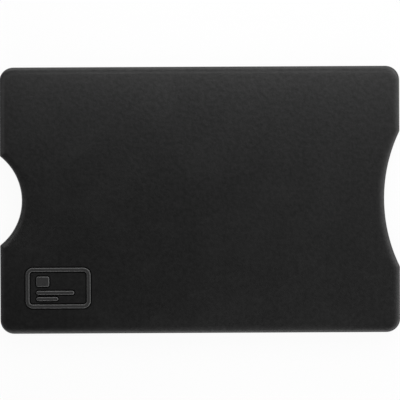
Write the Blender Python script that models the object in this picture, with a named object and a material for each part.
"""Rigid shielded sleeve for one bank-size card, lying on its back.

+X points out of the open mouth, +Y to the upper long side, +Z out of the front face.
The origin is at the middle of the rear face. Lengths are in metres.

Two covers hold two side rails between them, and the pocket lies between the rails. In a recess
of each cover an adhesive film holds a shield, and a liner covers it towards the pocket.
"""

import math

import bmesh
import bpy

MM = 0.001

# The card, and the room that it has in the pocket
CARD_LENGTH = 85.60 * MM
CARD_WIDTH = 53.98 * MM
CARD_THICKNESS = 0.76 * MM
CARD_SIDE_CLEARANCE = 0.31 * MM
CARD_FACE_CLEARANCE = 0.47 * MM
CARD_TO_MOUTH = 2.35 * MM

# The plastic around the pocket
STOP_WALL = 2.15 * MM
RAIL_WIDTH = 2.70 * MM
COVER_THICKNESS = 1.15 * MM
SEAM_GAP = 0.05 * MM
CORNER_RADIUS = 3.15 * MM

# The notch for a thumb in the closed end, and the one for a finger in the mouth
THUMB_NOTCH_RADIUS = 12.70 * MM
THUMB_NOTCH_DEPTH = 4.95 * MM
MOUTH_NOTCH_RADIUS = 35.00 * MM
MOUTH_NOTCH_DEPTH = 3.50 * MM
NOTCH_BLEND_RADIUS = 0.45 * MM

# The least radius of a rounding that is drawn in, and how far a tool runs past a face
LEAST_RADIUS = 0.05 * MM
OVERRUN = 0.30 * MM

POCKET_WIDTH = CARD_WIDTH + 2 * CARD_SIDE_CLEARANCE
POCKET_HEIGHT = CARD_THICKNESS + 2 * CARD_FACE_CLEARANCE
BODY_LENGTH = STOP_WALL + CARD_LENGTH + CARD_TO_MOUTH
BODY_WIDTH = POCKET_WIDTH + 2 * RAIL_WIDTH
BODY_HEIGHT = 2 * COVER_THICKNESS + POCKET_HEIGHT
MOUTH_X = BODY_LENGTH / 2
CLOSED_X = -BODY_LENGTH / 2
STOP_X = CLOSED_X + STOP_WALL
REAR_INNER_Z = COVER_THICKNESS
FRONT_INNER_Z = COVER_THICKNESS + POCKET_HEIGHT
THUMB_NOTCH_X = CLOSED_X + THUMB_NOTCH_DEPTH - THUMB_NOTCH_RADIUS
MOUTH_NOTCH_X = MOUTH_X - MOUTH_NOTCH_DEPTH + MOUTH_NOTCH_RADIUS

# Faces along each round stretch
CORNER_STEPS = 7
BLEND_STEPS = 3
THUMB_NOTCH_STEPS = 22
MOUTH_NOTCH_STEPS = 18
RIM_STEPS = 5
PIN_SIDES = 16
GRIP_STEPS = 10


# Outlines, as lists of (x, y) that run counter-clockwise

def arc(centre, radius, start, end, steps):
    """Points along an arc about centre, with both of its ends."""
    angles = [start + (end - start) * step / steps for step in range(steps + 1)]
    return [(centre[0] + radius * math.cos(a), centre[1] + radius * math.sin(a)) for a in angles]


def rounded_rectangle(centre, length, width, radius):
    """A rectangle along X and Y, whose round corners take at most half of its shorter side."""
    radius = min(radius, length / 2, width / 2)
    x = length / 2 - radius
    y = width / 2 - radius
    points = []
    for turn, (corner_x, corner_y) in enumerate(((x, -y), (x, y), (-x, y), (-x, -y))):
        start = (turn - 1) * math.pi / 2
        corner = (centre[0] + corner_x, centre[1] + corner_y)
        points += arc(corner, radius, start, start + math.pi / 2, CORNER_STEPS)
    return points


def notched_end(end_x, half_width, corner_radius, notch_x, notch_radius, notch_steps, blend_radius):
    """The +X end of an outline, from its lower corner to its upper one.

    The notch is the part of a circle about (notch_x, 0) that reaches into the end. Small arcs
    blend it into the straight stretches on both sides.
    """
    corner_x = end_x - corner_radius
    corner_y = half_width - corner_radius
    points = arc((corner_x, -corner_y), corner_radius, -math.pi / 2, 0, CORNER_STEPS)
    if notch_x - notch_radius < end_x:
        blend_x = end_x - blend_radius
        blend_y = math.sqrt((notch_radius + blend_radius) ** 2 - (notch_x - blend_x) ** 2)
        lean = math.atan2(blend_y, notch_x - blend_x)
        notch = arc((notch_x, 0), notch_radius, math.pi + lean, math.pi - lean, notch_steps)
        points += arc((blend_x, -blend_y), blend_radius, 0, lean, BLEND_STEPS)
        points += notch[1:-1]
        points += arc((blend_x, blend_y), blend_radius, -lean, 0, BLEND_STEPS)
    points += arc((corner_x, corner_y), corner_radius, 0, math.pi / 2, CORNER_STEPS)
    return points


def notched_outline(closed_x, mouth_x, half_width, corner_radius, land, blend_radius):
    """A rounded rectangle with both notches, whose radii are wider by land than the body's."""
    mouth_end = notched_end(
        mouth_x,
        half_width,
        corner_radius,
        MOUTH_NOTCH_X,
        MOUTH_NOTCH_RADIUS + land,
        MOUTH_NOTCH_STEPS,
        blend_radius,
    )
    closed_end = notched_end(
        -closed_x,
        half_width,
        corner_radius,
        -THUMB_NOTCH_X,
        THUMB_NOTCH_RADIUS + land,
        THUMB_NOTCH_STEPS,
        blend_radius,
    )
    return mouth_end + [(-x, -y) for x, y in closed_end]


def body_outline(inset):
    """The outline of the body, drawn in by inset all round."""
    return notched_outline(
        CLOSED_X + inset,
        MOUTH_X - inset,
        BODY_WIDTH / 2 - inset,
        max(CORNER_RADIUS - inset, LEAST_RADIUS),
        inset,
        max(NOTCH_BLEND_RADIUS - inset, LEAST_RADIUS),
    )


# Solids

def stack(name, loops):
    """A mesh closed around loops of equally many points, from the lowest loop to the highest."""
    shape = bmesh.new()
    rings = [[shape.verts.new(point) for point in loop] for loop in loops]
    for lower, upper in zip(rings, rings[1:]):
        for i in range(len(lower)):
            after = (i + 1) % len(lower)
            shape.faces.new((lower[i], lower[after], upper[after], upper[i]))
    shape.faces.new(rings[0][::-1])
    shape.faces.new(rings[-1])
    mesh = bpy.data.meshes.new(name)
    shape.to_mesh(mesh)
    shape.free()
    mesh.shade_smooth()
    mesh.set_sharp_from_angle(angle=math.radians(35))
    return mesh


def place(name, mesh, location, finish=None):
    """An object of the mesh at the location, carried by the sleeve's empty."""
    made = bpy.data.objects.new(name, mesh)
    made.location = location
    made.parent = sleeve
    if finish is not None:
        mesh.materials.append(finish)
    bpy.context.scene.collection.objects.link(made)
    return made


def prism(name, outline, one_z, other_z, finish=None, centre=(0, 0)):
    """The outline about a centre, extruded between two heights that are given in either order."""
    low, high = sorted((one_z, other_z))
    loops = [[(x, y, z) for x, y in outline] for z in (0, high - low)]
    return place(name, stack(name, loops), (*centre, low), finish)


def boolean(target, tool, operation):
    """Cuts the tool from the target or joins it on, and keeps the tool as a wire helper."""
    tool.hide_render = True
    tool.display_type = "WIRE"
    modifier = target.modifiers.new(tool.name, "BOOLEAN")
    modifier.operation = operation
    modifier.solver = "EXACT"
    modifier.object = tool


def cut(target, tool):
    boolean(target, tool, "DIFFERENCE")


def join(target, tool):
    boolean(target, tool, "UNION")


def even_shading(target):
    """Lets the large flat faces set the shading where shapes were cut out or joined on."""
    modifier = target.modifiers.new("even_shading", "WEIGHTED_NORMAL")
    modifier.keep_sharp = True


# Materials

def material(name, colour, roughness, metallic):
    made = bpy.data.materials.new(name)
    made.use_nodes = True
    shader = made.node_tree.nodes["Principled BSDF"]
    shader.inputs["Base Color"].default_value = (*colour, 1)
    shader.inputs["Roughness"].default_value = roughness
    shader.inputs["Metallic"].default_value = metallic
    made.diffuse_color = (*colour, 1)
    return made


# Pins, which stand out of both faces of the rails into sockets of the covers

PIN_RADIUS = 0.60 * MM
PIN_CLEARANCE = 0.15 * MM
PIN_INTO_COVER = 0.45 * MM
RAIL_PIN_PLACE_SHARES = (-0.78, 0.0, 0.84)
STOP_PIN_PLACE_SHARE = 0.62


def pin_places(side):
    """Where the pins of one side stand: in the middle of its rail and of its stop wall."""
    rail_y = side * (POCKET_WIDTH + RAIL_WIDTH) / 2
    places = [(share * MOUTH_X, rail_y) for share in RAIL_PIN_PLACE_SHARES]
    stop_pin = (CLOSED_X + STOP_WALL / 2, side * STOP_PIN_PLACE_SHARE * BODY_WIDTH / 2)
    return places + [stop_pin]


def posts(name, side, radius, one_z, other_z):
    """Round posts at the pins of one side, between two heights."""
    outline = arc((0, 0), radius, 0, 2 * math.pi, PIN_SIDES)[:-1]
    return [
        prism(f"{name}_{i}", outline, one_z, other_z, centre=spot)
        for i, spot in enumerate(pin_places(side))
    ]


# Side rails, each with half of the stop wall, a low bump against the card's edge, and a lead-in

RAIL_INSET = 0.10 * MM
POCKET_CORNER_RADIUS = 0.60 * MM
GRIP_LENGTH = 12.00 * MM
GRIP_HEIGHT = 0.29 * MM
GRIP_TO_MOUTH = 9.00 * MM
LEAD_IN_LENGTH = 1.20 * MM
LEAD_IN_WIDTH = 0.45 * MM


def pocket_side():
    """The pocket's upper edge, from the mouth to the stop wall."""
    side_y = POCKET_WIDTH / 2
    points = [
        (MOUTH_X + OVERRUN, side_y + LEAD_IN_WIDTH),
        (MOUTH_X, side_y + LEAD_IN_WIDTH),
        (MOUTH_X - LEAD_IN_LENGTH, side_y),
    ]
    for step in range(GRIP_STEPS + 1):
        share = step / GRIP_STEPS
        bump = GRIP_HEIGHT * (1 - math.cos(2 * math.pi * share)) / 2
        points.append((MOUTH_X - GRIP_TO_MOUTH - share * GRIP_LENGTH, side_y - bump))
    corner = (STOP_X + POCKET_CORNER_RADIUS, side_y - POCKET_CORNER_RADIUS)
    points += arc(corner, POCKET_CORNER_RADIUS, math.pi / 2, math.pi, CORNER_STEPS)
    return points


def side_rail(name, side, finish):
    """The body's outline between the covers, less the pocket and the other side, with its pins."""
    low = REAR_INNER_Z + SEAM_GAP
    high = FRONT_INNER_Z - SEAM_GAP
    rail = prism(name, body_outline(RAIL_INSET), low, high, finish)
    left = CLOSED_X - OVERRUN
    bottom = -BODY_WIDTH / 2 - OVERRUN
    waste = [(left, bottom), (MOUTH_X + OVERRUN, bottom)]
    waste += pocket_side()
    waste += [(STOP_X, 0), (left, 0)]
    if side < 0:
        waste = [(x, -y) for x, y in reversed(waste)]
    cut(rail, prism(name + "_waste", waste, low - OVERRUN, high + OVERRUN))
    pin_low = REAR_INNER_Z - PIN_INTO_COVER
    pin_high = FRONT_INNER_Z + PIN_INTO_COVER
    for pin in posts(name + "_pin", side, PIN_RADIUS, pin_low, pin_high):
        join(rail, pin)
    even_shading(rail)


# Films in the recess of a cover

FILM_SIDE_LAND = 1.50 * MM
FILM_MOUTH_LAND = 1.60 * MM
FILM_NOTCH_LAND = 1.80 * MM
FILM_CORNER_RADIUS = 2.00 * MM
FILM_GAP = 0.02 * MM
ADHESIVE_INSET = 1.30 * MM
ADHESIVE_THICKNESS = 0.10 * MM
SHIELD_INSET = 0.80 * MM
SHIELD_THICKNESS = 0.15 * MM
LINER_INSET = 0.30 * MM
LINER_THICKNESS = 0.15 * MM
RECESS_DEPTH = ADHESIVE_THICKNESS + SHIELD_THICKNESS + LINER_THICKNESS + 3 * FILM_GAP


def film_outline(inset):
    """The outline of the recess for the films, drawn in by inset all round."""
    return notched_outline(
        STOP_X + FILM_SIDE_LAND + inset,
        MOUTH_X - FILM_MOUTH_LAND - inset,
        POCKET_WIDTH / 2 - FILM_SIDE_LAND - inset,
        max(FILM_CORNER_RADIUS - inset, LEAST_RADIUS),
        FILM_NOTCH_LAND + inset,
        max(NOTCH_BLEND_RADIUS - inset, LEAST_RADIUS),
    )


def films(which, floor_z, inwards):
    """Adhesive film, shield and liner, from the recess's floor to the face of the pocket."""
    layers = (
        (f"{which}_adhesive_film", ADHESIVE_INSET, ADHESIVE_THICKNESS, adhesive_film),
        (f"{which}_shield", SHIELD_INSET, SHIELD_THICKNESS, aluminium_sheet),
        (f"{which}_pocket_liner", LINER_INSET, LINER_THICKNESS, liner_film),
    )
    near_z = floor_z
    for name, inset, thickness, finish in layers:
        near_z += inwards * FILM_GAP
        far_z = near_z + inwards * thickness
        prism(name, film_outline(inset), near_z, far_z, finish)
        near_z = far_z


# Covers

RIM_RADIUS = 1.00 * MM
EDGE_BREAK = 0.10 * MM
EDGE_LAND = 0.05 * MM


def cover(which, outer_z, outwards, finish):
    """A plate with a round rim, a broken inner edge, a recess for the films and sockets for pins.

    outwards is 1 where the outer face looks up and -1 where it looks down.
    """
    rim_radius = min(RIM_RADIUS, COVER_THICKNESS - EDGE_BREAK - EDGE_LAND)
    insets_and_depths = []
    for step in range(RIM_STEPS + 1):
        angle = step * math.pi / 2 / RIM_STEPS
        inset = rim_radius * (1 - math.sin(angle))
        insets_and_depths.append((inset, rim_radius * (1 - math.cos(angle))))
    insets_and_depths.append((0, COVER_THICKNESS - EDGE_BREAK))
    insets_and_depths.append((EDGE_BREAK, COVER_THICKNESS))
    loops = []
    for inset, depth in insets_and_depths[:: -outwards]:
        loops.append([(x, y, -outwards * depth) for x, y in body_outline(inset)])
    plate = place(f"{which}_cover", stack(f"{which}_cover", loops), (0, 0, outer_z), finish)

    inner_z = outer_z - outwards * COVER_THICKNESS
    floor_z = inner_z + outwards * RECESS_DEPTH
    past_z = inner_z - outwards * OVERRUN
    cut(plate, prism(f"{which}_recess", film_outline(0), past_z, floor_z))
    socket_z = inner_z + outwards * (PIN_INTO_COVER + PIN_CLEARANCE)
    for side, side_name in ((-1, "lower"), (1, "upper")):
        name = f"{which}_{side_name}_socket"
        for socket in posts(name, side, PIN_RADIUS + PIN_CLEARANCE, past_z, socket_z):
            cut(plate, socket)
    films(which, floor_z, -outwards)
    return plate


# The emblem raised on the front: a plain card with a contact pad and two bars

EMBLEM_LENGTH = 14.60 * MM
EMBLEM_WIDTH = 9.10 * MM
EMBLEM_HEIGHT = 0.20 * MM
EMBLEM_STROKE = 0.85 * MM
EMBLEM_RADIUS = 1.60 * MM
EMBLEM_TO_CLOSED_END = 5.80 * MM
EMBLEM_TO_LOWER_SIDE = 5.75 * MM
EMBLEM_PAD_LENGTH = 2.90 * MM
EMBLEM_PAD_WIDTH = 2.30 * MM
EMBLEM_PAD_RADIUS = 0.45 * MM
EMBLEM_MARGIN_SHARE = 0.12
EMBLEM_PAD_LEVEL_SHARE = 0.69
EMBLEM_BAR_LEVEL_SHARES = (0.36, 0.17)
EMBLEM_BAR_LENGTH_SHARES = (0.66, 0.38)


def raise_emblem(plate):
    """Joins the emblem's strokes onto the front cover, near its lower corner at the closed end."""
    root_z = BODY_HEIGHT - OVERRUN
    top_z = BODY_HEIGHT + EMBLEM_HEIGHT
    field_length = EMBLEM_LENGTH - 2 * EMBLEM_STROKE
    field_width = EMBLEM_WIDTH - 2 * EMBLEM_STROKE
    field_radius = max(EMBLEM_RADIUS - EMBLEM_STROKE, LEAST_RADIUS)
    field_left = CLOSED_X + EMBLEM_TO_CLOSED_END + EMBLEM_STROKE
    field_bottom = -BODY_WIDTH / 2 + EMBLEM_TO_LOWER_SIDE + EMBLEM_STROKE
    middle = (field_left + field_length / 2, field_bottom + field_width / 2)

    edge = rounded_rectangle(middle, EMBLEM_LENGTH, EMBLEM_WIDTH, EMBLEM_RADIUS)
    field = rounded_rectangle(middle, field_length, field_width, field_radius)
    frame = prism("emblem_frame", edge, root_z, top_z)
    cut(frame, prism("emblem_field", field, root_z - OVERRUN, top_z + OVERRUN))
    join(plate, frame)

    left = field_left + EMBLEM_MARGIN_SHARE * field_length
    pad_y = field_bottom + EMBLEM_PAD_LEVEL_SHARE * field_width
    pad_middle = (left + EMBLEM_PAD_LENGTH / 2, pad_y)
    pad = rounded_rectangle(pad_middle, EMBLEM_PAD_LENGTH, EMBLEM_PAD_WIDTH, EMBLEM_PAD_RADIUS)
    join(plate, prism("emblem_pad", pad, root_z, top_z))
    bars = zip(EMBLEM_BAR_LEVEL_SHARES, EMBLEM_BAR_LENGTH_SHARES)
    for i, (level_share, length_share) in enumerate(bars):
        length = length_share * field_length
        bar_middle = (left + length / 2, field_bottom + level_share * field_width)
        bar = rounded_rectangle(bar_middle, length, EMBLEM_STROKE, EMBLEM_STROKE / 2)
        join(plate, prism(f"emblem_bar_{i}", bar, root_z, top_z))


# The sleeve, put together from back to front

for old in list(bpy.data.objects):
    bpy.data.objects.remove(old)

sleeve = bpy.data.objects.new("card_sleeve", None)
bpy.context.scene.collection.objects.link(sleeve)

black_plastic = material("black_plastic", (0.022, 0.022, 0.023), 0.55, 0)
rail_plastic = material("rail_plastic", (0.020, 0.020, 0.021), 0.50, 0)
aluminium_sheet = material("aluminium_sheet", (0.80, 0.81, 0.82), 0.30, 1)
adhesive_film = material("adhesive_film", (0.72, 0.68, 0.55), 0.40, 0)
liner_film = material("liner_film", (0.030, 0.030, 0.032), 0.35, 0)

rear_plate = cover("rear", 0, -1, black_plastic)
even_shading(rear_plate)
side_rail("lower_side_rail", -1, rail_plastic)
side_rail("upper_side_rail", 1, rail_plastic)
front_plate = cover("front", BODY_HEIGHT, 1, black_plastic)
raise_emblem(front_plate)
even_shading(front_plate)
